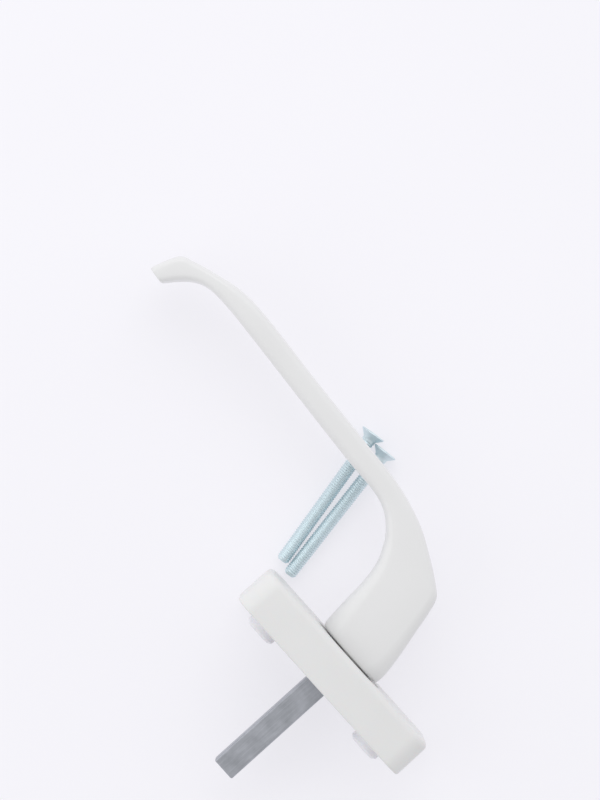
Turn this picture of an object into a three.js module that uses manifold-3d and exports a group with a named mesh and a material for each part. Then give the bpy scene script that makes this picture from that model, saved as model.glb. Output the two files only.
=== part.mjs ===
// A tilt and turn window handle: a cranked lever on a rosette with a four-position
// detent, a 7 mm square spindle behind it, and its two fixing screws lying loose.
//
// Frame, in millimetres: the origin is the centre of the rosette's mounting face, on the
// spindle's axis. +X runs towards the lever's tip, +Y into the window sash along the
// spindle, and +Z up, across the handle. Heights above the mounting face are called
// "height" below and run towards -Y, out into the room.

import * as THREE from 'three';
import { mergeVertices } from 'three/addons/utils/BufferGeometryUtils.js';
import Module from 'manifold-3d';

const wasm = await Module();
wasm.setup();

// ---------------------------------------------------------------- driving dimensions

const GAP = 0.3; // play left between neighbouring pieces

const ROSETTE = { length: 65, width: 30, height: 12, corner: 5.5, edge: 1.6, wall: 1.6 };
const NECK_OPENING_RADIUS = 12;
const RIB = { width: 4, depth: 0.9, height: 8.6, spacing: 36 };

const FIXING_SPACING = 43;
const FIXING_HOLE_RADIUS = 2.25;
const PIP = { radius: 4.8, height: 2.7, chamfer: 1 };
const FLANGE_HEIGHT = 3.2;
const FIXING_BOSS = { radius: 5.8, height: 5.6, countersink: 4.2 };

const TURRET = { radius: 12.4, bore: 9.8, top: 10.1, web: 1 };
const BACKING = { radius: 11.6, thickness: 0.8, earLength: 35.2, earWidth: 7, hole: 5.6 };
const RIVET = { radius: 1.1, headRadius: 1.9, headHeight: 0.9, reach: 14.6 };

const SPIGOT = { radius: 7, end: 1.4, flat: 6, flatTop: 8 };
const BUSH = { radius: 8, flangeRadius: 9.4, bottom: 8, flange: 0.8 };
const NECK_RING = { radius: 11.7, bottom: 10.4, top: 11.7 };
const DETENT_DISC = { radius: 9.4, bottom: 5.2, top: 7.7, notches: 4 };
const THRUST_WASHER = { radius: 9.2, bottom: 4.4, top: 4.9 };
const WAVE_WASHER = { inner: 7.4, outer: 9.1, bottom: 3.35, thickness: 0.35, wave: 0.2, waves: 3 };
const CIRCLIP = { inner: 6.4, outer: 8.5, bottom: 2.2, top: 3, mouth: 0.9, groove: 6.1 };

const BALL_RADIUS = 1.5;
const BALL_IN_NOTCH = 10.2; // distance of the ball's centre from the spindle's axis
const BALL_TRAVEL = 0.8;
const POCKET = { angle: 35 * Math.PI / 180, radius: 1.8, end: 17.5, bossWidth: 6.2, bossTop: 9.1 };
const SPRING = { start: 12.8, end: 15.4, meanRadius: 1.1, wireRadius: 0.22, turns: 4 };
const PLUG = { start: 15.7, end: 17.1, radius: 1.5 };

const SPINDLE = { side: 7, projection: 35, depth: 23.4, eased: 0.6, chamfer: 0.3 };
const PIN = { radius: 1.25, bore: 0.8, halfLength: 6.5, height: 9.3, slit: 0.6 };

const SCREW = { length: 44.2, shank: 1.9, head: 3.65, rim: 0.3, recess: 2, chamfer: 0.6 };
const SCREW_PITCH_DOWN = 2.3 * Math.PI / 180; // the tip lies lower than the head's centre
const LOOSE_SCREWS = [
  { name: 'fixing_screw_left', headX: 40.9, headHeight: 58.3, turn: 12.3 * Math.PI / 180 },
  { name: 'fixing_screw_right', headX: 34.9, headHeight: 57.4, turn: 10 * Math.PI / 180 },
];

// The lever's side view and width at stations from the hub's foot to the tip. `inner` is
// the edge that faces the window, `outer` the edge that faces the room, each as
// [distance along X, height]; `half` is half the width across, and `square` is how
// square the section is, from 2 for an ellipse upwards.
const LEVER_STATIONS = [
  { inner: [9.9, 12.3], outer: [-9.4, 12.3], half: 8.5, square: 2.8 },
  { inner: [10.9, 13.1], outer: [-10.4, 13.1], half: 9.3, square: 2.8 },
  { inner: [11.4, 16], outer: [-10.4, 16], half: 9.4, square: 3 },
  { inner: [11.9, 22], outer: [-9.2, 22.4], half: 9.2, square: 3.4 },
  { inner: [12.5, 29], outer: [-7.4, 29.6], half: 9, square: 3.7 },
  { inner: [13.8, 34.9], outer: [-5.8, 36.2], half: 8.7, square: 4 },
  { inner: [16, 39.1], outer: [-4.3, 40.4], half: 8.4, square: 4 },
  { inner: [17.5, 41.3], outer: [-1.8, 42.6], half: 8.2, square: 4 },
  { inner: [20.1, 43.8], outer: [5, 46.6], half: 7.9, square: 4 },
  { inner: [23.8, 46.1], outer: [14.4, 51], half: 7.5, square: 4 },
  { inner: [29.5, 47.4], outer: [26.3, 53.8], half: 7.2, square: 4 },
  { inner: [41.9, 47.9], outer: [41.3, 54.9], half: 7.2, square: 4 },
  { inner: [62.7, 49.3], outer: [62.3, 56.1], half: 8, square: 4 },
  { inner: [83.5, 50.8], outer: [83.2, 57.6], half: 8.7, square: 4 },
  { inner: [93.6, 51.4], outer: [94, 57.5], half: 8.8, square: 4 },
  { inner: [101, 51.1], outer: [103, 55.3], half: 8.8, square: 4 },
  { inner: [105, 49.6], outer: [109.6, 53], half: 8.7, square: 4 },
  { inner: [108.2, 46.8], outer: [113.4, 51], half: 8.5, square: 4 },
  { inner: [111, 43.1], outer: [116, 44.4], half: 8.1, square: 4 },
  { inner: [111.7, 42.3], outer: [116, 42.7], half: 7.6, square: 4 },
];

const FINISHES = {
  whiteCoat: { color: 0xeceef0, roughness: 0.42, metalness: 0 },
  whitePlastic: { color: 0xe9ebec, roughness: 0.5, metalness: 0 },
  greyPlastic: { color: 0xdadae0, roughness: 0.55, metalness: 0 },
  zincCasting: { color: 0xa9a9b4, roughness: 0.5, metalness: 0.85 },
  plainSteel: { color: 0x5f6266, roughness: 0.42, metalness: 1 },
  springSteel: { color: 0x7c7d80, roughness: 0.35, metalness: 1 },
  blueZinc: { color: 0x8fa9b5, roughness: 0.3, metalness: 1 },
};

// -------------------------------------------------------------------- shaping tools

// Turns a three.js geometry into a closed solid for cutting and joining.
function solid(geometry) {
  const bare = geometry.clone();
  bare.deleteAttribute('normal');
  bare.deleteAttribute('uv');
  const merged = mergeVertices(bare, 1e-4);
  const corners = merged.index.array;
  const triVerts = [];
  for (let i = 0; i < corners.length; i += 3) {
    const [a, b, c] = corners.slice(i, i + 3);
    if (a !== b && b !== c && c !== a) triVerts.push(a, b, c);
  }
  return new wasm.Manifold(new wasm.Mesh({
    numProp: 3,
    vertProperties: new Float32Array(merged.attributes.position.array),
    triVerts: new Uint32Array(triVerts),
  }));
}

// Turns a solid back into a three.js mesh with its name and finish.
function piece(name, body, finish) {
  const { vertProperties, triVerts } = body.getMesh();
  const geometry = new THREE.BufferGeometry();
  geometry.setAttribute('position', new THREE.BufferAttribute(vertProperties, 3));
  geometry.setIndex(new THREE.BufferAttribute(triVerts, 1));
  geometry.computeVertexNormals();
  const mesh = new THREE.Mesh(geometry, new THREE.MeshStandardMaterial(finish));
  mesh.name = name;
  return mesh;
}

// A ring or disc about the spindle's axis, from a closed list of [radius, height].
function turned(profile, segments = 40) {
  const points = profile.map(([radius, height]) => new THREE.Vector2(radius, -height));
  points.reverse();
  return solid(new THREE.LatheGeometry(points, segments));
}

function ring(inner, outer, bottom, top, segments = 40) {
  return turned([[inner, bottom], [outer, bottom], [outer, top], [inner, top], [inner, bottom]], segments);
}

function disc(radius, bottom, top, segments = 40) {
  return turned([[0, bottom], [radius, bottom], [radius, top], [0, top]], segments);
}

// An outline in X and Z, raised from one height to another. `round` eases both rims.
function raised(shape, bottom, top, round = 0) {
  const geometry = new THREE.ExtrudeGeometry(shape, {
    depth: top - bottom - 2 * round,
    bevelEnabled: round > 0,
    bevelThickness: round,
    bevelSize: round,
    bevelOffset: -round,
    bevelSegments: 4,
    curveSegments: 8,
  });
  geometry.rotateX(Math.PI / 2);
  geometry.translate(0, -bottom - round, 0);
  return solid(geometry);
}

function roundedRectangle(length, width, corner) {
  const [x, z] = [length / 2, width / 2];
  const shape = new THREE.Shape();
  shape.moveTo(-x + corner, -z);
  shape.lineTo(x - corner, -z);
  shape.absarc(x - corner, -z + corner, corner, -Math.PI / 2, 0, false);
  shape.lineTo(x, z - corner);
  shape.absarc(x - corner, z - corner, corner, 0, Math.PI / 2, false);
  shape.lineTo(-x + corner, z);
  shape.absarc(-x + corner, z - corner, corner, Math.PI / 2, Math.PI, false);
  shape.lineTo(-x, -z + corner);
  shape.absarc(-x + corner, -z + corner, corner, Math.PI, 1.5 * Math.PI, false);
  return shape;
}

// The same solid at each fixing hole, and on both sides of the axis.
function atFixings(body) {
  const reach = FIXING_SPACING / 2;
  return body.translate([reach, 0, 0]).add(body.translate([-reach, 0, 0]));
}

// Turns a solid built along +X about the spindle's axis.
const DEGREES = 180 / Math.PI;
const spun = (body, angle) => body.rotate([0, -angle * DEGREES, 0]);

// A solid built along +X, at a detent pocket's angle and at the opposite one.
const atPockets = (body) => spun(body, POCKET.angle).add(spun(body, POCKET.angle + Math.PI));

const discMiddle = (DETENT_DISC.bottom + DETENT_DISC.top) / 2;

// A round bar along +X between two distances from the axis, at the disc's mid height.
function pocketBar(radius, start, end, segments = 16) {
  const bar = new THREE.CylinderGeometry(radius, radius, end - start, segments);
  bar.rotateZ(Math.PI / 2);
  bar.translate((start + end) / 2, -discMiddle, 0);
  return solid(bar);
}

// ------------------------------------------------------------------------ the rosette

function makeRosetteCover() {
  const { length, width, height, corner, edge, wall } = ROSETTE;
  const inside = roundedRectangle(length - 2 * wall, width - 2 * wall, corner - wall);
  const rib = new THREE.BoxGeometry(RIB.width, RIB.height, RIB.depth + wall / 2);
  let cover = raised(roundedRectangle(length, width, corner), 0, height, edge)
    .subtract(raised(inside, -1, height - wall));
  for (const x of [-RIB.spacing / 2, RIB.spacing / 2]) {
    for (const side of [-1, 1]) {
      const z = side * (width / 2 - wall - (RIB.depth - wall / 2) / 2);
      const y = -(height - wall - RIB.height / 2 + 0.2);
      cover = cover.add(solid(rib.clone().translate(x, y, z)));
    }
  }
  return cover.subtract(disc(NECK_OPENING_RADIUS, height - wall - 1, height + 1, 48));
}

function backingOutline(extra) {
  const { radius, earLength, earWidth } = BACKING;
  const ears = roundedRectangle(earLength + 2 * extra, earWidth + 2 * extra, earWidth / 2 + extra - 0.01);
  return (bottom, top) => spun(raised(ears, bottom, top), -POCKET.angle)
    .add(disc(radius + extra, bottom, top, 48));
}

const rivetHoles = (body) => spun(body, -POCKET.angle).add(spun(body, Math.PI - POCKET.angle));

function makeBasePlate() {
  const { wall, length, width, corner } = ROSETTE;
  const clearance = 2 * (wall + 0.4);
  const flange = roundedRectangle(length - clearance, width - clearance, corner - wall - 0.4);
  const pip = turned([
    [0, -PIP.height], [PIP.radius - PIP.chamfer, -PIP.height],
    [PIP.radius, PIP.chamfer - PIP.height], [PIP.radius, 0.5], [0, 0.5],
  ], 24);
  const boss = disc(FIXING_BOSS.radius, 0.5, FIXING_BOSS.height, 28);
  const countersinkDepth = FIXING_BOSS.countersink - FIXING_HOLE_RADIUS;
  const hole = turned([
    [0, -PIP.height - 1], [FIXING_HOLE_RADIUS, -PIP.height - 1],
    [FIXING_HOLE_RADIUS, FIXING_BOSS.height - countersinkDepth],
    [FIXING_BOSS.countersink, FIXING_BOSS.height],
    [FIXING_BOSS.countersink, FIXING_BOSS.height + 1], [0, FIXING_BOSS.height + 1],
  ], 24);
  const pocketBoss = new THREE.BoxGeometry(POCKET.end - 8, POCKET.bossTop - 0.5, POCKET.bossWidth);
  pocketBoss.translate((POCKET.end + 8) / 2, -(POCKET.bossTop + 0.5) / 2, 0);
  const recessTop = GAP + BACKING.thickness + GAP;
  let plate = raised(flange, 0, FLANGE_HEIGHT)
    .add(disc(TURRET.radius, 0.5, TURRET.top, 48))
    .add(atFixings(pip))
    .add(atFixings(boss))
    .add(atPockets(solid(pocketBoss)))
    .subtract(atFixings(hole))
    .subtract(disc(TURRET.bore, 0, TURRET.top - TURRET.web, 48))
    .subtract(disc(BUSH.radius + GAP, 0, TURRET.top + 1, 48))
    .subtract(backingOutline(GAP)(-1, recessTop))
    .subtract(atPockets(pocketBar(POCKET.radius, TURRET.bore - 1, POCKET.end + 1)))
    .subtract(rivetHoles(disc(RIVET.radius + GAP, -1, FLANGE_HEIGHT + 1, 16).translate([RIVET.reach, 0, 0])));
  const notch = new THREE.BoxGeometry(RIB.width + 2 * GAP, 4 * FLANGE_HEIGHT, 2 * (RIB.depth + GAP));
  for (const x of [-RIB.spacing / 2, RIB.spacing / 2]) {
    for (const side of [-1, 1]) {
      plate = plate.subtract(solid(notch.clone().translate(x, 0, side * (width / 2 - wall))));
    }
  }
  return plate;
}

function makeBackingPlate() {
  const top = GAP + BACKING.thickness;
  const hole = turned([
    [0, -1], [RIVET.headRadius + GAP, -1], [RIVET.headRadius + GAP, GAP],
    [RIVET.radius + GAP, top], [RIVET.radius + GAP, 3], [0, 3],
  ], 16).translate([RIVET.reach, 0, 0]);
  return backingOutline(0)(GAP, top)
    .subtract(disc(BACKING.hole, -1, 3, 32))
    .subtract(rivetHoles(hole));
}

function makeRivet() {
  const top = GAP + BACKING.thickness;
  const seat = FLANGE_HEIGHT + GAP;
  const { radius, headRadius, headHeight } = RIVET;
  return turned([
    [0, GAP], [headRadius, GAP], [radius, top], [radius, seat], [headRadius, seat],
    [headRadius * 0.9, seat + headHeight * 0.6], [headRadius * 0.5, seat + headHeight * 0.95],
    [0, seat + headHeight],
  ], 16);
}

// --------------------------------------------------------- the detent and the bearing

function makeBearingBush() {
  const inner = SPIGOT.radius + GAP;
  const { radius, flangeRadius, bottom, flange } = BUSH;
  return turned([
    [inner, bottom], [flangeRadius, bottom], [flangeRadius, bottom + flange],
    [radius, bottom + flange], [radius, TURRET.top], [inner, TURRET.top], [inner, bottom],
  ]);
}

function makeDetentDisc() {
  const { radius, bottom, top, notches } = DETENT_DISC;
  const bore = SPIGOT.radius + GAP;
  const slab = new THREE.BoxGeometry(2 * bore + 2, 20, 2 * (SPIGOT.flat + GAP));
  let body = disc(radius, bottom, top, 64)
    .subtract(disc(bore, 0, 12).intersect(solid(slab)));
  const notch = disc(BALL_RADIUS + GAP, 0, 12, 20).translate([BALL_IN_NOTCH, 0, 0]);
  for (let i = 0; i < notches; i += 1) {
    body = body.subtract(spun(notch, POCKET.angle + i * 2 * Math.PI / notches));
  }
  return body;
}

// A flat ring whose two faces rise and fall together as it goes round.
function makeWaveWasher() {
  const { inner, outer, bottom, thickness, wave, waves } = WAVE_WASHER;
  const profile = [[inner, 0], [outer, 0], [outer, thickness], [inner, thickness], [inner, 0]];
  const points = profile.map(([radius, height]) => new THREE.Vector2(radius, -height)).reverse();
  const geometry = new THREE.LatheGeometry(points, 48);
  const position = geometry.attributes.position;
  for (let i = 0; i < position.count; i += 1) {
    const angle = Math.atan2(position.getZ(i), position.getX(i));
    const rise = bottom + wave * (1 + Math.cos(waves * angle));
    position.setY(i, position.getY(i) - rise);
  }
  return solid(geometry);
}

// A ring open at one side, with an eye for the pliers at each end of the gap.
function makeCirclip() {
  const { inner, outer, bottom, top, mouth } = CIRCLIP;
  const shape = new THREE.Shape();
  const gapInner = mouth / inner;
  const gapOuter = mouth / outer;
  shape.absarc(0, 0, outer, gapOuter, 2 * Math.PI - gapOuter, false);
  shape.absarc(0, 0, inner, 2 * Math.PI - gapInner, gapInner, true);
  for (const side of [-1, 1]) {
    const eye = new THREE.Path();
    const angle = side * 2.2 / outer;
    const middle = (inner + outer) / 2;
    eye.absarc(middle * Math.cos(angle), middle * Math.sin(angle), 0.5, 0, 2 * Math.PI, true);
    shape.holes.push(eye);
  }
  const geometry = new THREE.ExtrudeGeometry(shape, {
    depth: top - bottom, bevelEnabled: false, curveSegments: 20,
  });
  geometry.rotateX(Math.PI / 2);
  geometry.translate(0, -bottom, 0);
  return solid(geometry);
}

const ballStart = BALL_IN_NOTCH + BALL_TRAVEL;

function makeBall() {
  const geometry = new THREE.SphereGeometry(BALL_RADIUS, 20, 12);
  geometry.translate(ballStart, -discMiddle, 0);
  return solid(geometry);
}

class Helix extends THREE.Curve {
  getPoint(t, target = new THREE.Vector3()) {
    const angle = 2 * Math.PI * SPRING.turns * t;
    const along = SPRING.start + SPRING.wireRadius
      + t * (SPRING.end - SPRING.start - 2 * SPRING.wireRadius);
    return target.set(
      along,
      -discMiddle + SPRING.meanRadius * Math.cos(angle),
      SPRING.meanRadius * Math.sin(angle),
    );
  }
}

function makeSpring() {
  const section = new THREE.Shape();
  section.absarc(0, 0, SPRING.wireRadius, 0, 2 * Math.PI, false);
  return solid(new THREE.ExtrudeGeometry(section, {
    steps: 14 * SPRING.turns, extrudePath: new Helix(), curveSegments: 3,
  }));
}

function makePlug() {
  const slot = new THREE.BoxGeometry(0.6, 0.6, 4);
  slot.translate(PLUG.end, -discMiddle, 0);
  return pocketBar(PLUG.radius, PLUG.start, PLUG.end).subtract(solid(slot));
}

// ------------------------------------------------------------- the lever and spindle

// A rod whose section follows the stations: each ring of a cylinder is laid across
// the line from the inner edge to the outer edge.
function leverRod() {
  const edge = (key) => new THREE.SplineCurve(LEVER_STATIONS.map((s) => new THREE.Vector2(...s[key])));
  const innerEdge = edge('inner');
  const outerEdge = edge('outer');
  const build = new THREE.SplineCurve(LEVER_STATIONS.map((s) => new THREE.Vector2(s.half, s.square)));
  const rod = new THREE.CylinderGeometry(1, 1, 1, 28, 2 * (LEVER_STATIONS.length - 1));
  const position = rod.attributes.position;
  const squared = (value, power) => Math.sign(value) * Math.abs(value) ** (2 / power);
  for (let i = 0; i < position.count; i += 1) {
    const t = 0.5 - position.getY(i);
    const inner = innerEdge.getPoint(t);
    const outer = outerEdge.getPoint(t);
    const { x: half, y: square } = build.getPoint(t);
    const across = (1 + squared(position.getX(i), square)) / 2;
    const point = inner.lerp(outer, across);
    position.setXYZ(i, point.x, -point.y, -half * squared(position.getZ(i), square));
  }
  return solid(rod);
}

function squareBar(side, bottom, top) {
  const bar = new THREE.BoxGeometry(side, top - bottom, side);
  bar.translate(0, -(top + bottom) / 2, 0);
  return solid(bar);
}

function pinBar(radius, halfLength, segments = 16) {
  const bar = new THREE.CylinderGeometry(radius, radius, 2 * halfLength, segments);
  bar.rotateX(Math.PI / 2);
  bar.translate(0, -PIN.height, 0);
  return solid(bar);
}

function makeLever() {
  const { radius, end, flat, flatTop } = SPIGOT;
  const groove = ring(CIRCLIP.groove, radius + 1, CIRCLIP.bottom - GAP, CIRCLIP.top + GAP, 40);
  const slab = new THREE.BoxGeometry(2 * radius + 2, flatTop - end, 4);
  slab.translate(0, -(flatTop + end) / 2, flat + 2);
  const flats = solid(slab);
  return leverRod()
    .add(disc(radius, end, 16))
    .subtract(groove)
    .subtract(flats)
    .subtract(flats.rotate([0, 180, 0]))
    .subtract(squareBar(SPINDLE.side + 2 * GAP, end - 1, SPINDLE.depth + GAP))
    .subtract(pinBar(PIN.radius + GAP, radius + 0.5));
}

function makeSpindle() {
  const { side, projection, depth, eased, chamfer } = SPINDLE;
  const outline = roundedRectangle(side, side, eased);
  const geometry = new THREE.ExtrudeGeometry(outline, {
    depth: projection + depth - 2 * chamfer,
    bevelThickness: chamfer,
    bevelSize: chamfer,
    bevelOffset: -chamfer,
    bevelSegments: 1,
    curveSegments: 2,
  });
  geometry.rotateX(Math.PI / 2);
  geometry.translate(0, projection - chamfer, 0);
  return solid(geometry).subtract(pinBar(PIN.radius + GAP, side));
}

// A spring pin: a rolled tube with a slit along it.
function makeSpindlePin() {
  const slit = new THREE.BoxGeometry(PIN.radius * 2, PIN.slit, 4 * PIN.halfLength);
  slit.translate(PIN.radius, -PIN.height, 0);
  return pinBar(PIN.radius, PIN.halfLength, 20)
    .subtract(pinBar(PIN.bore, PIN.halfLength + 1))
    .subtract(solid(slit));
}

// ------------------------------------------------------------------ the loose screws

// Built with the middle of the head's face at the origin and the tip towards +Y.
function makeScrew() {
  const { length, shank, head, rim, recess, chamfer } = SCREW;
  const body = turned([
    [0, 0], [head, 0], [head, -rim], [shank, -rim - head + shank], [shank, chamfer - length],
    [shank - chamfer, -length], [0, -length],
  ].reverse(), 24);
  const arm = new THREE.BoxGeometry(0.8, 2 * recess, 4.2);
  const core = new THREE.CylinderGeometry(0.4, 1.3, 2 * recess, 12);
  core.rotateX(Math.PI);
  const cross = solid(arm).add(solid(arm.clone().rotateY(Math.PI / 2))).add(solid(core));
  return body.subtract(cross);
}

// --------------------------------------------------------------------------- assembly

const root = new THREE.Group();
const base = new THREE.Group();
const cover = new THREE.Group();
const turning = new THREE.Group();
const looseHardware = new THREE.Group();
root.add(base, cover, turning, looseHardware);

const { whiteCoat, whitePlastic, greyPlastic, zincCasting } = FINISHES;
const { plainSteel, springSteel, blueZinc } = FINISHES;

base.add(piece('base_plate', makeBasePlate(), greyPlastic));
base.add(piece('backing_plate', makeBackingPlate(), plainSteel));
base.add(piece('bearing_bush', makeBearingBush(), greyPlastic));
base.add(piece('neck_ring', ring(
  SPIGOT.radius + GAP, NECK_RING.radius, NECK_RING.bottom, NECK_RING.top, 48,
), whitePlastic));
cover.add(piece('rosette_cover', makeRosetteCover(), whitePlastic));

for (const [side, turn] of [['left', 0], ['right', Math.PI]]) {
  const rivet = piece(`rivet_${side}`, makeRivet(), plainSteel);
  const angle = turn - POCKET.angle;
  rivet.position.set(RIVET.reach * Math.cos(angle), 0, RIVET.reach * Math.sin(angle));
  const pocket = new THREE.Group();
  pocket.rotation.y = -POCKET.angle - turn;
  pocket.add(piece(`detent_ball_${side}`, makeBall(), springSteel));
  pocket.add(piece(`detent_spring_${side}`, makeSpring(), springSteel));
  pocket.add(piece(`spring_plug_${side}`, makePlug(), plainSteel));
  base.add(rivet, pocket);
}

turning.add(piece('lever', makeLever(), whiteCoat));
turning.add(piece('spindle', makeSpindle(), plainSteel));
turning.add(piece('spindle_pin', makeSpindlePin(), springSteel));
turning.add(piece('detent_disc', makeDetentDisc(), zincCasting));
turning.add(piece('thrust_washer', ring(
  SPIGOT.radius + GAP, THRUST_WASHER.radius, THRUST_WASHER.bottom, THRUST_WASHER.top,
), plainSteel));
turning.add(piece('wave_washer', makeWaveWasher(), springSteel));
turning.add(piece('circlip', makeCirclip(), springSteel));

for (const { name, headX, headHeight, turn } of LOOSE_SCREWS) {
  const screw = piece(name, makeScrew(), blueZinc);
  screw.rotation.order = 'ZXY';
  screw.rotation.z = turn;
  screw.rotation.x = -SCREW_PITCH_DOWN;
  const headCentre = -ROSETTE.width / 2 + SCREW.head * Math.cos(SCREW_PITCH_DOWN) + 0.02;
  screw.position.set(headX, -headHeight, headCentre);
  looseHardware.add(screw);
}

export default root;
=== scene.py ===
import math

import bmesh
import bpy
import numpy as np
from mathutils import Matrix, Vector


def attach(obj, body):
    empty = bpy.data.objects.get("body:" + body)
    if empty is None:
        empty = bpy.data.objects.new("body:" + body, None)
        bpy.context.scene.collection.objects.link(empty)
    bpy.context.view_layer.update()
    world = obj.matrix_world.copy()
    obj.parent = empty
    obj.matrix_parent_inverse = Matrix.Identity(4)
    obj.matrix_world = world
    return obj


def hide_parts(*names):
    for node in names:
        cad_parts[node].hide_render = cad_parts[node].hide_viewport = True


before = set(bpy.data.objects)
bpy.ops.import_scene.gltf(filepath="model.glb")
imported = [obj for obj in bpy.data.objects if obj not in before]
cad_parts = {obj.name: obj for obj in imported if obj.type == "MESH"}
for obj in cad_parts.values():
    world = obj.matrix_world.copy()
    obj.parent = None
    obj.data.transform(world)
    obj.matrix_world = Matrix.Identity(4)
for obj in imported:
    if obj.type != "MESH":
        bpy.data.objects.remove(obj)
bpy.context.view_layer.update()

MM = 0.001
SCENE = bpy.context.scene
TAU = 2 * math.pi

# ------------------------------------------------------------- driving dimensions (mm)

ROSETTE_LENGTH = 65
ROSETTE_WIDTH = 30
RIB_X = 18  # the cover's snap ribs and the base plate's notches, from the spindle's axis
FIXING_X = 21.5  # half the spacing of the fixing screws
RIVET_REACH = 14.6  # a rivet's distance from the spindle's axis
POCKET = math.radians(35)  # direction of the detent pockets, from +X towards +Z
POCKET_HEIGHT = 6.45
SPINDLE_SIDE = 7
PIN_HEIGHT = 9.3
SCREW_LENGTH = 44.2
SCREW_HEAD_RADIUS = 3.65
THREAD_RADIUS = 1.95
THREAD_ROOT = 1.7
THREAD_PITCH = 0.7
SCREW_PITCH_DOWN = math.radians(2.3)  # the tip lies lower than the head's centre
LOOSE_SCREWS = [("left", 40.9, 58.3, 12.3), ("right", 34.9, 57.4, 10)]  # X, height, turn
FLOOR_Z = -15.03


# ------------------------------------------------------------------ shader node helpers

def new_material(name):
    material = bpy.data.materials.new(name)
    material.use_nodes = True
    nodes = material.node_tree.nodes
    return material, nodes, material.node_tree.links, nodes["Principled BSDF"]


def object_coordinates(nodes, links, scale=(1, 1, 1)):
    coordinates = nodes.new("ShaderNodeTexCoord")
    mapping = nodes.new("ShaderNodeMapping")
    mapping.inputs["Scale"].default_value = scale
    links.new(coordinates.outputs["Object"], mapping.inputs["Vector"])
    return mapping.outputs["Vector"]


def noise(nodes, links, vector, scale, detail=3.0, roughness=0.5):
    node = nodes.new("ShaderNodeTexNoise")
    node.inputs["Scale"].default_value = scale
    node.inputs["Detail"].default_value = detail
    node.inputs["Roughness"].default_value = roughness
    links.new(vector, node.inputs["Vector"])
    return node.outputs["Fac"]


def ramp(nodes, links, factor, stops):
    node = nodes.new("ShaderNodeValToRGB")
    elements = node.color_ramp.elements
    while len(elements) < len(stops):
        elements.new(0.5)
    for element, (position, color) in zip(elements, stops):
        element.position = position
        element.color = (*color, 1) if len(color) == 3 else color
    links.new(factor, node.inputs["Fac"])
    return node.outputs["Color"]


def spread(nodes, links, factor, low, high):
    node = nodes.new("ShaderNodeMapRange")
    node.inputs["To Min"].default_value = low
    node.inputs["To Max"].default_value = high
    links.new(factor, node.inputs["Value"])
    return node.outputs["Result"]


def bump(nodes, links, height, distance, strength=1.0, under=None):
    node = nodes.new("ShaderNodeBump")
    node.inputs["Distance"].default_value = distance
    node.inputs["Strength"].default_value = strength
    links.new(height, node.inputs["Height"])
    if under is not None:
        links.new(under, node.inputs["Normal"])
    return node.outputs["Normal"]


def constants(shader, **values):
    for name, value in values.items():
        shader.inputs[name.replace("_", " ")].default_value = value


def make_powder_coat():
    """White polyester powder on the cast lever: satin, with a very fine orange peel."""
    material, nodes, links, shader = new_material("white_powder_coat")
    place = object_coordinates(nodes, links)
    drift = noise(nodes, links, place, 26, 2)
    links.new(ramp(nodes, links, drift, [
        (0.3, (0.728, 0.729, 0.726)), (0.7, (0.756, 0.757, 0.754)),
    ]), shader.inputs["Base Color"])
    peel = noise(nodes, links, place, 900, 2, 0.4)
    grain = noise(nodes, links, place, 4200, 2, 0.6)
    links.new(spread(nodes, links, noise(nodes, links, place, 160, 4), 0.34, 0.46),
              shader.inputs["Roughness"])
    under = bump(nodes, links, grain, 0.000006, 0.5)
    links.new(bump(nodes, links, peel, 0.00003, 0.5, under), shader.inputs["Normal"])
    constants(shader, IOR=1.5, Coat_Weight=0.12, Coat_Roughness=0.22)
    return material


def make_white_plastic():
    """Injection moulded white plastic with a fine spark-eroded grain."""
    material, nodes, links, shader = new_material("white_plastic")
    place = object_coordinates(nodes, links)
    drift = noise(nodes, links, place, 34, 3)
    links.new(ramp(nodes, links, drift, [
        (0.3, (0.722, 0.723, 0.716)), (0.7, (0.750, 0.751, 0.744)),
    ]), shader.inputs["Base Color"])
    grain = noise(nodes, links, place, 2600, 3, 0.65)
    links.new(spread(nodes, links, noise(nodes, links, place, 300, 3), 0.40, 0.52),
              shader.inputs["Roughness"])
    links.new(bump(nodes, links, grain, 0.000014, 0.6), shader.inputs["Normal"])
    constants(shader, IOR=1.49, Subsurface_Weight=0.03, Subsurface_Scale=0.0006)
    return material


def make_grey_plastic():
    """Glass filled nylon in a very light grey: faint clouds and a fine moulded grain."""
    material, nodes, links, shader = new_material("pale_grey_nylon")
    place = object_coordinates(nodes, links)
    drift = noise(nodes, links, place, 180, 3)
    links.new(ramp(nodes, links, drift, [
        (0.3, (0.76, 0.755, 0.78)), (0.7, (0.82, 0.815, 0.84)),
    ]), shader.inputs["Base Color"])
    grain = noise(nodes, links, place, 3000, 3)
    links.new(spread(nodes, links, grain, 0.38, 0.55), shader.inputs["Roughness"])
    links.new(bump(nodes, links, grain, 0.00001, 0.4), shader.inputs["Normal"])
    constants(shader, IOR=1.48, Subsurface_Weight=0.05, Subsurface_Scale=0.0005)
    return material


def make_casting():
    """Raw zinc diecasting: mottled grey, flow marks, fine pits."""
    material, nodes, links, shader = new_material("zinc_diecasting")
    place = object_coordinates(nodes, links)
    stretched = object_coordinates(nodes, links, (1, 1, 3.2))
    flow = noise(nodes, links, stretched, 120, 6, 0.62)
    links.new(ramp(nodes, links, flow, [
        (0.25, (0.50, 0.50, 0.53)), (0.5, (0.57, 0.57, 0.60)), (0.75, (0.62, 0.62, 0.65)),
    ]), shader.inputs["Base Color"])
    pits = noise(nodes, links, place, 2200, 4, 0.7)
    links.new(spread(nodes, links, flow, 0.44, 0.66), shader.inputs["Roughness"])
    rough = bump(nodes, links, pits, 0.00002, 0.6)
    links.new(bump(nodes, links, flow, 0.00005, 0.5, rough), shader.inputs["Normal"])
    constants(shader, Metallic=0.6)
    return material


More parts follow.
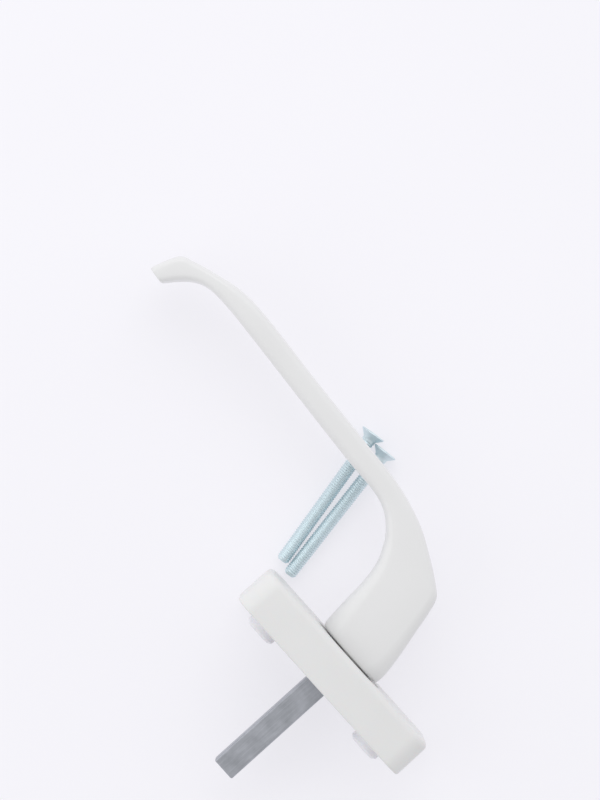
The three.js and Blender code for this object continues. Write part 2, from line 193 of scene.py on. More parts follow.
def make_metal(name, dark, light, roughness, along, stretch, depth, hue=None):
    """Bare or plated steel: fine lines along one axis, and a slow change of tone."""
    material, nodes, links, shader = new_material(name)
    scale = [1, 1, 1]
    scale[along] = 1 / stretch
    lines = noise(nodes, links, object_coordinates(nodes, links, scale), 3400, 4, 0.6)
    cloud = noise(nodes, links, object_coordinates(nodes, links), 240, 4, 0.6)
    mixed = nodes.new("ShaderNodeMath")
    mixed.operation = "MULTIPLY_ADD"
    mixed.inputs[1].default_value = 0.45
    links.new(lines, mixed.inputs[0])
    part = nodes.new("ShaderNodeMath")
    part.operation = "MULTIPLY"
    part.inputs[1].default_value = 0.55
    links.new(cloud, part.inputs[0])
    links.new(part.outputs[0], mixed.inputs[2])
    stops = [(0.3, dark), (0.7, light)]
    if hue:
        stops = [(0.28, dark), (0.5, hue), (0.72, light)]
    links.new(ramp(nodes, links, mixed.outputs[0], stops), shader.inputs["Base Color"])
    links.new(spread(nodes, links, cloud, roughness - 0.08, roughness + 0.1),
              shader.inputs["Roughness"])
    links.new(bump(nodes, links, lines, depth, 0.5), shader.inputs["Normal"])
    constants(shader, Metallic=1.0)
    return material


def make_floor_paper():
    """Plain pale studio paper."""
    material, nodes, links, shader = new_material("pale_paper")
    place = object_coordinates(nodes, links)
    drift = noise(nodes, links, place, 5, 2)
    tone = ramp(nodes, links, drift, [
        (0.3, (0.872, 0.863, 0.905)), (0.7, (0.888, 0.880, 0.922)),
    ])
    soft = nodes.new("ShaderNodeMix")
    soft.data_type = "RGBA"
    soft.blend_type = "MULTIPLY"
    soft.inputs["Factor"].default_value = 1
    soft.inputs["B"].default_value = (0.36, 0.36, 0.36, 1)
    links.new(tone, soft.inputs["A"])
    links.new(soft.outputs["Result"], shader.inputs["Base Color"])
    links.new(tone, shader.inputs["Emission Color"])
    constants(shader, Roughness=0.9, IOR=1.2, Emission_Strength=0.68)
    return material


POWDER_COAT = make_powder_coat()
WHITE_PLASTIC = make_white_plastic()
GREY_PLASTIC = make_grey_plastic()
CASTING = make_casting()
DRAWN_STEEL = make_metal(
    "drawn_steel", (0.32, 0.335, 0.36), (0.50, 0.515, 0.555), 0.4, 1, 26, 0.00001)
PLAIN_STEEL = make_metal(
    "plain_steel", (0.36, 0.37, 0.39), (0.56, 0.57, 0.58), 0.34, 0, 9, 0.00001)
SPRING_STEEL = make_metal(
    "spring_steel", (0.30, 0.30, 0.31), (0.50, 0.50, 0.51), 0.28, 2, 4, 0.000006)
BLUE_ZINC = make_metal(
    "blue_zinc_plate", (0.665, 0.77, 0.80), (0.735, 0.83, 0.865), 0.52, 1, 3, 0.000001,
    (0.70, 0.80, 0.835))


# ------------------------------------------------------------------------- mesh helpers

def mesh_object(name, points, faces, material=None):
    """An object from points in millimetres, with its faces turned outwards."""
    mesh = bpy.data.meshes.new(name)
    mesh.from_pydata([tuple(float(c) * MM for c in p) for p in points], [], faces)
    work = bmesh.new()
    work.from_mesh(mesh)
    bmesh.ops.remove_doubles(work, verts=work.verts, dist=1e-7)
    bmesh.ops.recalc_face_normals(work, faces=work.faces)
    work.to_mesh(mesh)
    work.free()
    thing = bpy.data.objects.new(name, mesh)
    SCENE.collection.objects.link(thing)
    if material:
        mesh.materials.append(material)
    return thing


def loft(name, rings, material=None, closed=False):
    """A skin over rings of points. Without `closed`, both ends are capped."""
    rings = np.asarray(rings, float)
    count, size, _ = rings.shape
    points = rings.reshape(-1, 3)
    faces = []
    for i in range(count if closed else count - 1):
        a, b = i * size, (i + 1) % count * size
        for j in range(size):
            k = (j + 1) % size
            faces.append((a + j, a + k, b + k, b + j))
    if not closed:
        faces.append(tuple(range(size))[::-1])
        faces.append(tuple((count - 1) * size + j for j in range(size)))
    return mesh_object(name, points, faces, material)


def lathe(name, profile, material=None, steps=96, at=(0, 0), closed=False):
    """A body of [radius, height] turned about the spindle's direction, at X and Z."""
    angles = np.linspace(0, TAU, steps, endpoint=False)
    rings = [[(at[0] + r * math.cos(a), -h, at[1] + r * math.sin(a)) for a in angles]
             for r, h in profile]
    return loft(name, rings, material, closed)


def softened(corners, radius, steps=4):
    """A closed [radius, height] profile with its corners eased; radius may be per corner."""
    corners = [np.array(c, float) for c in corners]
    amounts = radius if hasattr(radius, "__len__") else [radius] * len(corners)
    made = []
    for i, corner in enumerate(corners):
        before, after = corners[i - 1], corners[(i + 1) % len(corners)]
        amount = amounts[i]
        if amount <= 0:
            made.append(tuple(corner))
            continue
        u = (before - corner) / np.linalg.norm(before - corner)
        v = (after - corner) / np.linalg.norm(after - corner)
        angle = math.acos(max(-1, min(1, float(u @ v))))
        reach = amount / math.tan(angle / 2)
        shorter = min(np.linalg.norm(before - corner), np.linalg.norm(after - corner))
        reach = min(reach, 0.45 * shorter)
        start, end = corner + u * reach, corner + v * reach
        for k in range(steps + 1):
            t = k / steps
            made.append(tuple((1 - t) ** 2 * start + 2 * t * (1 - t) * corner + t * t * end))
    return made


def rounded_rectangle(length, width, corner, steps=10):
    """Points of a rounded rectangle in X and Z, counter-clockwise."""
    x, z = length / 2 - corner, width / 2 - corner
    made = []
    for cx, cz, start in ((x, z, 0), (-x, z, 0.25), (-x, -z, 0.5), (x, -z, 0.75)):
        for k in range(steps + 1):
            a = TAU * (start + 0.25 * k / steps)
            made.append((cx + corner * math.cos(a), cz + corner * math.sin(a)))
    return made


def layers(outline, heights):
    """Rings from outline(inset) at each (height, inset)."""
    return [[(x, -h, z) for x, z in outline(inset)] for h, inset in heights]


def cut(target, tools, how="DIFFERENCE"):
    """Combines tools with target and removes them."""
    for tool in tools:
        step = target.modifiers.new("step", "BOOLEAN")
        step.operation = how
        step.solver = "EXACT"
        step.object = tool
        bpy.context.view_layer.update()
        graph = bpy.context.evaluated_depsgraph_get()
        made = bpy.data.meshes.new_from_object(target.evaluated_get(graph))
        target.modifiers.clear()
        old = target.data
        target.data = made
        bpy.data.meshes.remove(old)
        spare = tool.data
        bpy.data.objects.remove(tool)
        bpy.data.meshes.remove(spare)
    return target


def smooth(thing, degrees=32, weighted=True):
    mesh = thing.data
    mesh.polygons.foreach_set("use_smooth", [True] * len(mesh.polygons))
    mesh.set_sharp_from_angle(angle=math.radians(degrees))
    if weighted:
        step = thing.modifiers.new("weighted", "WEIGHTED_NORMAL")
        step.keep_sharp = True
        step.weight = 50
    return thing


def spin(thing, angle):
    """Turns a finished mesh about the spindle's axis, +X towards +Z."""
    thing.data.transform(Matrix.Rotation(-angle, 4, "Y"))
    return thing


def hand_over(thing, body, slot, *nodes):
    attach(thing, body)
    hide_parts(*nodes)
    return thing


# -------------------------------------------------------------------- the lever (mm)

# [inner edge x, height, outer edge x, height, half width, inner corner, outer corner]
STATIONS = np.array([
    [10.2, 12.3, -9.7, 12.3, 8.7, 5.3, 5.3],
    [10.9, 12.9, -10.4, 12.9, 9.3, 5.6, 5.6],
    [11.4, 16.0, -10.4, 16.0, 9.4, 5.0, 5.0],
    [11.9, 22.0, -9.2, 22.4, 9.2, 3.9, 3.9],
    [12.5, 29.0, -7.4, 29.6, 9.0, 3.2, 3.2],
    [13.8, 34.9, -5.8, 36.2, 8.7, 2.9, 2.9],
    [16.0, 39.1, -4.3, 40.4, 8.4, 2.8, 2.6],
    [17.5, 41.3, -1.8, 42.6, 8.2, 2.7, 2.4],
    [20.1, 43.8, 5.0, 46.6, 7.9, 2.5, 2.2],
    [23.8, 46.1, 14.4, 51.0, 7.5, 2.3, 2.0],
    [29.5, 47.4, 26.3, 53.8, 7.2, 2.1, 1.9],
    [41.9, 47.9, 41.3, 54.9, 7.2, 2.1, 1.9],
    [62.7, 49.3, 62.3, 56.1, 8.0, 2.1, 1.9],
    [83.5, 50.8, 83.2, 57.6, 8.7, 2.1, 1.9],
    [93.6, 51.4, 94.0, 57.5, 8.8, 2.0, 1.9],
    [101.0, 51.1, 103.0, 55.3, 8.8, 1.5, 1.5],
    [105.0, 49.6, 109.6, 53.0, 8.7, 1.5, 1.6],
    [108.2, 46.8, 113.4, 51.0, 8.5, 1.5, 1.6],
    [111.0, 43.1, 116.0, 44.4, 8.1, 1.3, 1.5],
    [111.7, 42.3, 116.0, 42.7, 7.6, 1.2, 1.4],
])


def spline(rows, steps):
    """A smooth curve through every row, as a uniform Catmull-Rom spline."""
    padded = np.vstack([rows[:1], rows, rows[-1:]])
    made = []
    for i in range(len(rows) - 1):
        a, b, c, d = padded[i:i + 4]
        for k in range(steps):
            t = k / steps
            made.append(0.5 * (2 * b + (c - a) * t + (2 * a - 5 * b + 4 * c - d) * t * t
                               + (3 * b - a - 3 * c + d) * t ** 3))
    made.append(rows[-1])
    return np.array(made)


def lever_section(depth, half, inner, outer, crown=0.35, arc=9, flat=7):
    """Points of [across, sideways] of a rectangle with its own corner radii and a crown."""
    corners = [
        (inner, -half + inner, inner, 0.5), (depth - outer, -half + outer, outer, 0.75),
        (depth - outer, half - outer, outer, 0.0), (inner, half - inner, inner, 0.25),
    ]
    made = []
    for n, (a, v, r, start) in enumerate(corners):
        for k in range(arc + 1):
            turn = TAU * (start + 0.25 * k / arc)
            made.append((a + r * math.cos(turn), v + r * math.sin(turn)))
        a2, v2, r2, start2 = corners[(n + 1) % 4]
        first = made[-1]
        last = (a2 + r2 * math.cos(TAU * start2), v2 + r2 * math.sin(TAU * start2))
        for k in range(1, flat):
            t = k / flat
            made.append((first[0] + (last[0] - first[0]) * t, first[1] + (last[1] - first[1]) * t))
    points = np.array(made)
    u = 2 * points[:, 0] / depth - 1
    w = points[:, 1] / half
    points[:, 1] *= 1 - crown / half * u ** 2
    points[:, 0] = depth / 2 * (1 + u * (1 - 0.6 * crown / depth * w ** 2))
    return points


def lever_rings():
    rings = []
    for ix, iw, ox, ow, half, inner, outer in spline(STATIONS, 8):
        near, far = np.array([ix, iw]), np.array([ox, ow])
        depth = np.linalg.norm(far - near)
        across = (far - near) / depth
        rings.append([
            (near[0] + a * across[0], -(near[1] + a * across[1]), v)
            for a, v in lever_section(depth, half, inner, outer)
        ])
    rings = np.array(rings)
    end, before = rings[-1], rings[-5]
    onward = (end.mean(0) - before.mean(0))
    onward /= np.linalg.norm(onward)
    middle = end.mean(0)
    rounded = [rings[:-1]]
    for k in range(1, 8):
        turn = k / 7 * math.pi / 2
        inset = 1.1 * (1 - math.cos(turn))
        reach = np.abs(end - middle).max(0).clip(2.2)
        ring = middle + (end - middle) * np.maximum(0, 1 - inset / reach)
        rounded.append((ring + onward * (1.0 * math.sin(turn) - 1.0))[None])
    return np.vstack(rounded)


def make_lever():
    body = loft("lever_body", lever_rings(), POWDER_COAT)
    spigot = lathe("spigot", softened([
        (0.001, 1.4), (7, 1.4), (7, 1.9), (6.1, 1.9), (6.1, 3.1), (7, 3.1), (7, 16), (0.001, 16),
    ], [0, 0.25, 0.05, 0.08, 0.08, 0.15, 0, 0]))
    slabs = [
        loft("flat", layers(lambda _: [(-9, s * 6), (9, s * 6), (9, s * 9), (-9, s * 9)],
                            [(1.0, 0), (8.0, 0)]))
        for s in (-1, 1)
    ]
    cut(spigot, slabs)
    cut(body, [spigot], "UNION")
    bar = loft("bar", layers(lambda inset: rounded_rectangle(7.6 - 2 * inset, 7.6 - 2 * inset, 0.5, 4),
                             [(0.4, -0.9), (1.4, -0.45), (1.9, 0), (23.7, 0)]))
    angles = np.linspace(0, TAU, 32, endpoint=False)
    pin = loft("pin", [[(r * math.cos(a), -PIN_HEIGHT + r * math.sin(a), z) for a in angles]
                       for z, r in ((-7.6, 1.9), (-6.7, 1.55), (6.7, 1.55), (7.6, 1.9))])
    cut(body, [bar, pin])
    smooth(body, 34)
    return hand_over(body, "handle", "white_coat", "lever")


# ----------------------------------------------------------------------- the rosette

def make_cover():
    def outline(inset):
        return rounded_rectangle(
            ROSETTE_LENGTH - 2 * inset, ROSETTE_WIDTH - 2 * inset, max(5.5 - inset, 0.4), 14)

    def edge(height, radius, base, steps=8):
        rows = []
        for k in range(steps + 1):
            turn = k / steps * math.pi / 2
            rows.append((height + radius * math.sin(turn), base + radius * (1 - math.cos(turn))))
        return rows
    draft = 0.12
    sides = [(0.0, 0.55), (0.1, 0.28), (0.3, 0.1), (0.6, 0.02)]
    sides += [(2 + k, draft * (2 + k) / 12) for k in range(9)]
    sides += edge(10.2, 1.8, draft * 10.2 / 12)
    shell = loft("cover", layers(outline, sides), WHITE_PLASTIC)
    hollow = loft("hollow", layers(
        lambda inset: rounded_rectangle(61.8 - 2 * inset, 26.8 - 2 * inset, max(3.9 - inset, 0.3), 10),
        [(-1, -0.35), (0.0, -0.35), (0.35, 0), (9.6, 0.1)] + edge(9.6, 0.8, 0.1, 5)))
    cut(shell, [hollow])
    for x in (-RIB_X, RIB_X):
        for side in (-1, 1):
            cut(shell, [loft("rib", [
                [(x + px, -h, side * (12.5 + pz)) for px, pz in (
                    (-w, 1.2), (w, 1.2), (w, 0.25 + lean), (w - 0.25, 0.02 + lean),
                    (-w + 0.25, 0.02 + lean), (-w, 0.25 + lean))]
                for h, w, lean in ((2.0, 1.6, 0.75), (2.5, 1.95, 0.1), (10.6, 2.0, 0))
            ])], "UNION")
    opening = lathe("opening", [
        (0.001, 9.2), (12.25, 9.2), (12.25, 10.2), (12.0, 10.6), (12.0, 11.35), (12.06, 11.6),
        (12.22, 11.82), (12.5, 11.97), (12.9, 12.02), (13.0, 12.6), (0.001, 12.6),
    ], steps=128)
    cut(shell, [opening])
    smooth(shell, 34)
    return hand_over(shell, "cover", "white_plastic", "rosette_cover")


def at_angle(points, angle):
    c, s = math.cos(angle), math.sin(angle)
    return [(x * c - z * s, x * s + z * c) for x, z in points]



def ear_outline(extra, steps=12):
    """A slot-shaped outline that reaches to both rivets."""
    reach, radius = 17.6 - 3.5, 3.5 + extra
    made = []
    for k in range(steps + 1):
        a = -math.pi / 2 + math.pi * k / steps
        made.append((reach + radius * math.cos(a), radius * math.sin(a)))
    for k in range(steps + 1):
        a = math.pi / 2 + math.pi * k / steps
        made.append((-reach + radius * math.cos(a), radius * math.sin(a)))
    return at_angle(made, -POCKET)


def rivet_place(turn):
    """X and Z of the rivet on this side of the spindle."""
    angle = turn - POCKET
    return RIVET_REACH * math.cos(angle), RIVET_REACH * math.sin(angle)


def pocket_tool(name, profile, turn, steps=32):
    """A body of [radius, distance from the axis] lying along a detent pocket."""
    angles = np.linspace(0, TAU, steps, endpoint=False)
    thing = loft(name, [[(d, -POCKET_HEIGHT + r * math.cos(a), r * math.sin(a)) for a in angles]
                        for r, d in profile])
    return spin(thing, POCKET + turn)


def make_base_plate():
    flange = loft("base_plate_body", layers(
        lambda inset: rounded_rectangle(61 - 2 * inset, 26 - 2 * inset, 3.5 - inset, 10),
        [(0, 0.3), (0.09, 0.09), (0.3, 0), (2.7, 0.08), (2.95, 0.16), (3.2, 0.45)]), GREY_PLASTIC)
    for tool in (
        lathe("turret", [(0.001, 0.6), (12.9, 3.0), (12.8, 3.2), (12.6, 3.7), (12.4, 4.4), (12.35, 9.7),
                         (12.2, 10.0), (11.9, 10.1), (0.001, 10.1)]),
        *(lathe("boss", [(0.001, 0.5), (6.4, 3.1), (6.05, 3.35), (5.85, 3.9), (5.8, 5.2), (5.5, 5.6),
                         (0.001, 5.6)], at=(x, 0)) for x in (FIXING_X, -FIXING_X)),
        *(lathe("pip", [(0.001, 0.5), (4.8, 0.5), (4.8, -1.65), (4.72, -1.95), (3.95, -2.6),
                        (3.7, -2.7), (0.001, -2.7)], at=(x, 0)) for x in (FIXING_X, -FIXING_X)),
    ):
        cut(flange, [tool], "UNION")
    for turn in (0, math.pi):
        block = loft("pocket_boss", layers(
            lambda inset: [(x, z) for x, z in (
                (8, -3.1 + inset), (17.5 - inset, -3.1 + inset), (17.5 - inset, 3.1 - inset),
                (8, 3.1 - inset))],
            [(0.5, 0), (7.4, 0), (8.6, 0.35), (9.1, 0.9)]))
        cut(flange, [spin(block, POCKET + turn)], "UNION")
    tools = [
        lathe("bore", [
            (0.001, -1), (12.2, -1), (12.2, 0.0), (11.9, 0.3), (11.9, 1.4), (9.8, 1.4), (9.8, 9.1),
            (8.3, 9.1), (8.3, 9.9), (8.6, 10.25), (8.6, 11), (0.001, 11)]),
        loft("ear_recess", layers(ear_outline, [
            (-1.2, 0.61), (-0.01, 0.61), (0.29, 0.31), (1.39, 0.31)])),
    ]
    for x in (FIXING_X, -FIXING_X):
        tools.append(lathe("hole", [
            (0.001, -4), (2.6, -4), (2.6, -2.65), (2.25, -2.35), (2.25, 3.65), (4.25, 5.65), (4.25, 7),
            (0.001, 7)], at=(x, 0), steps=64))
    for turn in (0, math.pi):
        tools.append(pocket_tool(
            "pocket", [(1.8, 8.8), (1.8, 17.2), (2.05, 17.45), (2.05, 18.5)], turn))
        tools.append(lathe("rivet_hole", [
            (0.001, -1), (1.4, -1), (1.4, 3.0), (1.6, 3.25), (1.6, 4.2), (0.001, 4.2),
        ], at=rivet_place(turn), steps=40))
    for x in (-RIB_X, RIB_X):
        for side in (-1, 1):
            tools.append(loft("notch", layers(
                lambda _: [(x - 2.3, side * 12.2), (x + 2.3, side * 12.2),
                           (x + 2.3, side * 15), (x - 2.3, side * 15)],
                [(-6, 0), (6, 0)])))
    cut(tools[0], tools[1:], "UNION")
    cut(flange, tools[:1])
    smooth(flange, 30)
    return hand_over(flange, "base", "grey_plastic", "base_plate")


def make_backing_plate():
    edges = [(0.3, 0.14), (0.42, 0.02), (0.5, 0), (1.02, 0), (1.1, 0.06)]
    plate = loft("backing_plate_body", layers(
        lambda inset: [((11.6 - inset) * math.cos(a), (11.6 - inset) * math.sin(a))
                       for a in np.linspace(0, TAU, 128, endpoint=False)], edges), PLAIN_STEEL)
    cut(plate, [loft("ears", layers(lambda inset: ear_outline(-inset), edges))], "UNION")
    tools = [lathe("eye", [(0.001, -1), (5.9, -1), (5.9, 0.28), (5.6, 0.5), (5.6, 2), (0.001, 2)])]
    for turn in (0, math.pi):
        tools.append(lathe("seat", [
            (0.001, -1), (2.2, -1), (2.2, 0.3), (1.4, 1.1), (1.4, 3), (0.001, 3),
        ], at=rivet_place(turn), steps=40))
    cut(plate, tools)
    smooth(plate, 30)
    return hand_over(plate, "base", "plain_steel", "backing_plate")


def make_rivet(side, turn):
    rivet = lathe(f"rivet_{side}_body", [
        (0.001, 0.34), (0.9, 0.33), (1.5, 0.31), (1.84, 0.33), (1.9, 0.4), (1.12, 1.08), (1.1, 1.2),
        (1.1, 3.5), (1.86, 3.5), (1.9, 3.6), (1.86, 3.78), (1.7, 4.02), (1.4, 4.22), (0.95, 4.35),
        (0.5, 4.39), (0.001, 4.4),
    ], PLAIN_STEEL, 48, rivet_place(turn))
    smooth(rivet, 34)
    return hand_over(rivet, "base", "plain_steel", f"rivet_{side}")


# --------------------------------------------------------------- bearing and detent

def make_turned_parts():
    bush = lathe("bearing_bush_body", softened([
        (7.3, 8), (9.4, 8), (9.4, 8.8), (8, 8.8), (8, 10.1), (7.3, 10.1)],
        [0.2, 0.2, 0.15, 0.1, 0.2, 0.2]), GREY_PLASTIC, 96, closed=True)
    neck = lathe("neck_ring_body", softened([
        (7.3, 10.4), (11.7, 10.4), (11.7, 11.7), (7.3, 11.7)], [0.2, 0.3, 0.35, 0.2]),
        WHITE_PLASTIC, 128, closed=True)
    thrust = lathe("thrust_washer_body", softened([
        (7.3, 4.4), (9.2, 4.4), (9.2, 4.9), (7.3, 4.9)], [0.06, 0.16, 0.1, 0.06]),
        PLAIN_STEEL, 96, closed=True)
    for thing, body, slot, node in (
        (bush, "base", "grey_plastic", "bearing_bush"),
        (neck, "base", "white_plastic", "neck_ring"),
        (thrust, "handle", "plain_steel", "thrust_washer"),
    ):
        smooth(thing, 50)
        hand_over(thing, body, slot, node)


def make_wave_washer():
    rings = []
    for a in np.linspace(0, TAU, 144, endpoint=False):
        rise = 3.35 + 0.2 * (1 + math.cos(3 * a))
        section = softened([(7.4, rise), (9.1, rise), (9.1, rise + 0.35), (7.4, rise + 0.35)], 0.08, 3)
        rings.append([(r * math.cos(a), -h, r * math.sin(a)) for r, h in section])
    washer = loft("wave_washer_body", rings, SPRING_STEEL, closed=True)
    smooth(washer, 50)
    return hand_over(washer, "handle", "spring_steel", "wave_washer")


def make_circlip():
    def outline(inset):
        made = []
        out, inn = 8.5 - inset, 6.4 + inset
        a0, b0 = (0.9 + inset) / out, (0.9 + inset) / inn
        for a in np.linspace(a0, TAU - a0, 120):
            made.append((out * math.cos(a), out * math.sin(a)))
        for a in np.linspace(TAU - b0, b0, 120):
            made.append((inn * math.cos(a), inn * math.sin(a)))
        return made
    clip = loft("circlip_body", layers(outline, [
        (2.2, 0.12), (2.24, 0.04), (2.32, 0), (2.9, 0), (2.97, 0.04), (3.0, 0.1)]), SPRING_STEEL)
    eyes = []
    for side in (-1, 1):
        a = side * 2.2 / 8.5
        eyes.append(lathe("eye", [(0.001, 1), (0.6, 1), (0.6, 2.22), (0.5, 2.32), (0.5, 2.88),
                                  (0.6, 2.98), (0.6, 4), (0.001, 4)], None, 28,
                          (7.45 * math.cos(a), 7.45 * math.sin(a))))
    cut(clip, eyes)
    smooth(clip, 34)
    return hand_over(clip, "handle", "spring_steel", "circlip")


def make_detent_disc():
    def outline(inset):
        made = []
        for a in np.linspace(0, TAU, 480, endpoint=False):
            toward = (a - POCKET + math.pi / 4) % (math.pi / 2) - math.pi / 4
            reach = 9.4 - inset
            shift = 10.2 * math.sin(toward)
            if abs(shift) < 1.8 + inset:
                notch = 10.2 * math.cos(toward) - math.sqrt((1.8 + inset) ** 2 - shift ** 2)
                reach = min(reach, notch)
            made.append((reach * math.cos(a), reach * math.sin(a)))
        return made
    plate = loft("detent_disc_body", layers(outline, [
        (5.2, 0.22), (5.27, 0.07), (5.4, 0), (7.5, 0), (7.63, 0.07), (7.7, 0.22)]), CASTING)
    flat, bore = 6.3, 7.3

    def double_d(inset):
        made = []
        limit = math.asin((flat - inset) / (bore - inset))
        for base in (0, math.pi):
            for a in np.linspace(base - limit, base + limit, 40):
                made.append(((bore - inset) * math.cos(a), (bore - inset) * math.sin(a)))
        return made
    cut(plate, [loft("bore", layers(double_d, [
        (4, -0.2), (5.1, -0.2), (5.4, 0), (7.5, 0), (7.8, -0.2), (9, -0.2)]))])
    smooth(plate, 30)
    return hand_over(plate, "handle", "zinc_casting", "detent_disc")


def make_pocket_parts():
    for side, turn in (("left", 0), ("right", math.pi)):
        angles = np.linspace(0, math.pi, 29)
        ball = pocket_tool(f"detent_ball_{side}_body", [
            (max(1.5 * math.sin(a), 0.001), 11 - 1.5 * math.cos(a)) for a in angles], turn, 48)
        ball.data.materials.append(SPRING_STEEL)
        smooth(ball, 60, False)
        hand_over(ball, f"ball_{side}", "spring_steel", f"detent_ball_{side}")

        wire, coil, steps = 0.22, 1.1, 4 * 48
        rings = []
        for k in range(steps + 1):
            t = k / steps
            turned = TAU * 4 * t
            dead = 0.6 / 4
            pitch = np.interp(t, [0, dead, 1 - dead, 1], [0, 0.09, 0.91, 1])
            along = 12.8 + wire + pitch * (2.6 - 2 * wire)
            taper = min(1, 0.55 + 6 * min(t, 1 - t) * 4)
            ring = []
            for b in np.linspace(0, TAU, 16, endpoint=False):
                reach = coil + wire * math.cos(b)
                push = wire * math.sin(b) * taper
                ring.append((along + push, -POCKET_HEIGHT + reach * math.cos(turned),
                             reach * math.sin(turned)))
            rings.append(ring)
        spring = spin(loft(f"detent_spring_{side}_body", rings, SPRING_STEEL), POCKET + turn)
        smooth(spring, 60, False)
        hand_over(spring, "base", "spring_steel", f"detent_spring_{side}")

        plug = pocket_tool(f"spring_plug_{side}_body", [
            (0.001, 15.7), (1.25, 15.7), (1.45, 15.8), (1.5, 15.95), (1.5, 16.9), (1.42, 17.05),
            (1.3, 17.1), (0.001, 17.1)], turn, 40)
        plug.data.materials.append(PLAIN_STEEL)
        slot = loft("slot", [
            [(d, -POCKET_HEIGHT + h, z) for h, z in ((-w, -2), (w, -2), (w, 2), (-w, 2))]
            for d, w in ((16.8, 0.26), (17.02, 0.3), (17.3, 0.42))])
        cut(plug, [spin(slot, POCKET + turn)])
        smooth(plug, 34)
        hand_over(plug, "base", "plain_steel", f"spring_plug_{side}")


# --------------------------------------------------------------------- the spindle

def make_spindle():
    def outline(inset):
        side = SPINDLE_SIDE - 2 * inset
        return rounded_rectangle(side, side, max(0.6 - 0.5 * inset, 0.15), 6)
    heights = [(-35, 0.3), (-34.95, 0.22), (-34.75, 0.02), (-34.65, 0)]
    heights += [(-34 + k * 3, 0) for k in range(19)]
    heights += [(23.05, 0), (23.15, 0.02), (23.35, 0.22), (23.4, 0.3)]
    bar = loft("spindle_body", layers(outline, heights), DRAWN_STEEL)
    angles = np.linspace(0, TAU, 40, endpoint=False)
    hole = loft("hole", [
        [(r * math.cos(a), -PIN_HEIGHT + r * math.sin(a), z) for a in angles]
        for z, r in ((-4, 2.0), (-3.45, 1.75), (-3.2, 1.55), (3.2, 1.55), (3.45, 1.75), (4, 2.0))
    ])
    cut(bar, [hole])
    smooth(bar, 30)
    return hand_over(bar, "handle", "dark_steel", "spindle")


def make_spindle_pin():
    rings = []
    slit = 0.3
    for z, inset in ((-6.5, 0.22), (-6.42, 0.14), (-6.0, 0), (6.0, 0), (6.42, 0.14), (6.5, 0.22)):
        out, inn = 1.25 - inset, 0.8
        a0, b0 = math.asin(slit / out), math.asin(slit / inn)
        ring = [(out * math.cos(a), out * math.sin(a)) for a in np.linspace(a0, TAU - a0, 48)]
        ring += [(inn * math.cos(a), inn * math.sin(a)) for a in np.linspace(TAU - b0, b0, 48)]
        rings.append([(x, -PIN_HEIGHT + y, z) for x, y in ring])
    pin = loft("spindle_pin_body", rings, SPRING_STEEL)
    smooth(pin, 40)
    return hand_over(pin, "handle", "spring_steel", "spindle_pin")


# ------------------------------------------------------------------- the loose screws

def make_screw(side, head_x, head_height, turn):
    rows = [(0.0, 3.28), (0.03, 3.45), (0.12, 3.6), (0.2, 3.64), (0.3, SCREW_HEAD_RADIUS)]
    along = [0.36, 0.6, 1.0, 1.4, 1.7]
    rows += [(a, SCREW_HEAD_RADIUS + 0.3 - a) for a in along]
    columns, per_pitch = 40, 12
    angles = np.linspace(0, TAU, columns, endpoint=False)

    def thread(y, a):
        phase = (y / THREAD_PITCH - a / TAU) % 1
        wave = abs(2 * phase - 1)
        crest = np.clip((wave - 0.06) / 0.8, 0, 1)
        fade = np.clip((y - 2.2) / 1.4, 0, 1)
        deep = THREAD_RADIUS - (THREAD_RADIUS - THREAD_ROOT) * crest * fade
        tip = SCREW_LENGTH - y
        return min(deep, 1.25 + 0.85 * tip)

    def thread_ring(y):
        return [(thread(y, a) * math.cos(a), y, thread(y, a) * math.sin(a)) for a in angles]
    rings = [[(r * math.cos(a), y, r * math.sin(a)) for a in angles] for y, r in rows]
    for y in np.arange(2.0, SCREW_LENGTH - 0.001, THREAD_PITCH / per_pitch):
        rings.append(thread_ring(y))
    rings.append(thread_ring(SCREW_LENGTH))
    rings.append([(math.cos(a), SCREW_LENGTH, math.sin(a)) for a in angles])
    screw = loft(f"fixing_screw_{side}_body", rings, BLUE_ZINC)

    def cross(arm, half):
        made = []
        for quarter in range(4):
            a = quarter * math.pi / 2
            for x, y in (
                (arm - 0.12, -half), (arm, -half + 0.12), (arm, half - 0.12),
                (arm - 0.12, half), (half + 0.16, half), (half, half + 0.16),
            ):
                made.append((x * math.cos(a) - y * math.sin(a), x * math.sin(a) + y * math.cos(a)))
        return made
    cut(screw, [loft("recess", [
        [(x, y, z) for x, z in cross(arm, half)]
        for y, arm, half in (
            (-0.5, 2.2, 0.46), (0.0, 2.05, 0.4), (1.2, 1.35, 0.3), (1.75, 0.95, 0.25),
            (1.95, 0.55, 0.2))
    ])])
    smooth(screw, 55, False)
    centre = -ROSETTE_WIDTH / 2 + SCREW_HEAD_RADIUS * math.cos(SCREW_PITCH_DOWN) + 0.02
    place = (Matrix.Translation(Vector((head_x, -head_height, centre)) * MM)
             @ Matrix.Rotation(math.radians(turn), 4, "Z")
             @ Matrix.Rotation(-SCREW_PITCH_DOWN, 4, "X"))
    screw.data.transform(place)
    return hand_over(screw, f"screw_{side}", "blue_zinc", f"fixing_screw_{side}")


make_lever()
make_cover()
make_base_plate()
make_backing_plate()
make_rivet("left", 0)
make_rivet("right", math.pi)
make_turned_parts()
make_wave_washer()
make_circlip()
make_detent_disc()
make_pocket_parts()
make_spindle()
make_spindle_pin()
for loose_screw in LOOSE_SCREWS:
    make_screw(*loose_screw)


# ------------------------------------------------------------- floor, light and camera

FLOOR_CORNERS = ((-2500, -2500), (2500, -2500), (2500, 2500), (-2500, 2500))
floor = mesh_object("floor", [(x, y, FLOOR_Z) for x, y in FLOOR_CORNERS], [(0, 1, 2, 3)],
                    make_floor_paper())

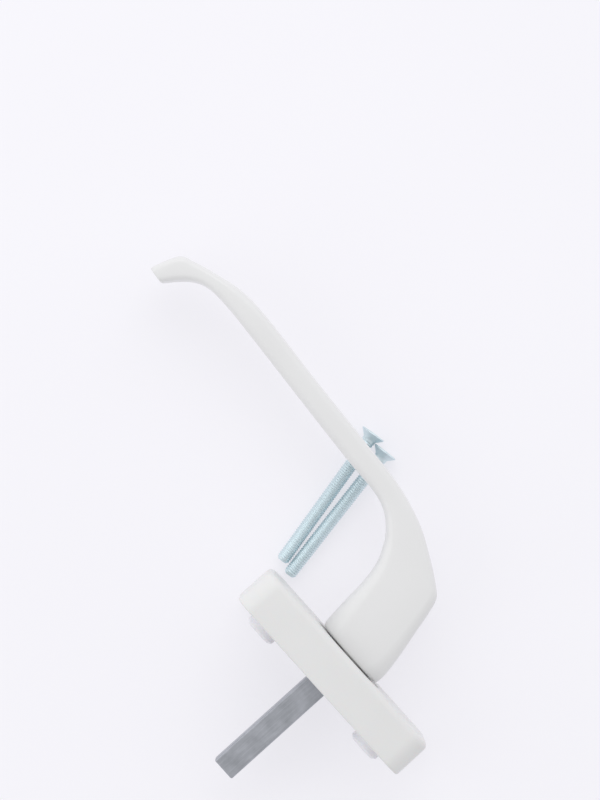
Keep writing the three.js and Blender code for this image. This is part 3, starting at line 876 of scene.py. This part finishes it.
MIDDLE = Vector((0.0617, -0.0492, 0))
RIGHT = Vector((-0.669, -0.743, 0)).normalized()
UP = Vector((0.743, -0.669, 0)).normalized()


def area_light(name, right, up, height, size, power):
    data = bpy.data.lights.new(name, "AREA")
    data.shape = "RECTANGLE"
    data.size, data.size_y = size
    data.energy = power
    light = bpy.data.objects.new(name, data)
    light.location = MIDDLE + RIGHT * right + UP * up + Vector((0, 0, height))
    light.rotation_euler = (MIDDLE - light.location).to_track_quat("-Z", "Y").to_euler()
    SCENE.collection.objects.link(light)
    return light


area_light("key", 0.05, 0.5, 0.5, (0.6, 0.4), 0.95)
area_light("fill", -0.5, -0.05, 0.35, (0.6, 0.6), 0.75)


def make_world():
    """A white tent: brighter towards the horizon and towards the top of the picture."""
    world = bpy.data.worlds.new("studio")
    world.use_nodes = True
    nodes, links = world.node_tree.nodes, world.node_tree.links
    coordinates = nodes.new("ShaderNodeTexCoord")
    toward = nodes.new("ShaderNodeVectorMath")
    toward.operation = "DOT_PRODUCT"
    side = (UP * 0.95 + RIGHT * 0.3).normalized() * 0.18
    toward.inputs[1].default_value = (side.x, side.y, -0.20)
    links.new(coordinates.outputs["Generated"], toward.inputs[0])
    level = nodes.new("ShaderNodeMath")
    level.operation = "ADD"
    level.inputs[1].default_value = 0.97
    links.new(toward.outputs["Value"], level.inputs[0])
    links.new(level.outputs[0], nodes["Background"].inputs["Strength"])
    nodes["Background"].inputs["Color"].default_value = (0.985, 0.985, 1.0, 1)
    return world


SCENE.world = make_world()
SCENE.view_settings.view_transform = "Standard"

camera_data = bpy.data.cameras.new("camera")
camera_data.sensor_width = 36
camera_data.lens = 146
camera_data.clip_start, camera_data.clip_end = 0.05, 20
camera = bpy.data.objects.new("camera", camera_data)
camera.matrix_world = Matrix((
    (RIGHT.x, UP.x, 0, MIDDLE.x),
    (RIGHT.y, UP.y, 0, MIDDLE.y),
    (0, 0, 1, 0.9),
    (0, 0, 0, 1),
))
SCENE.collection.objects.link(camera)
SCENE.camera = camera
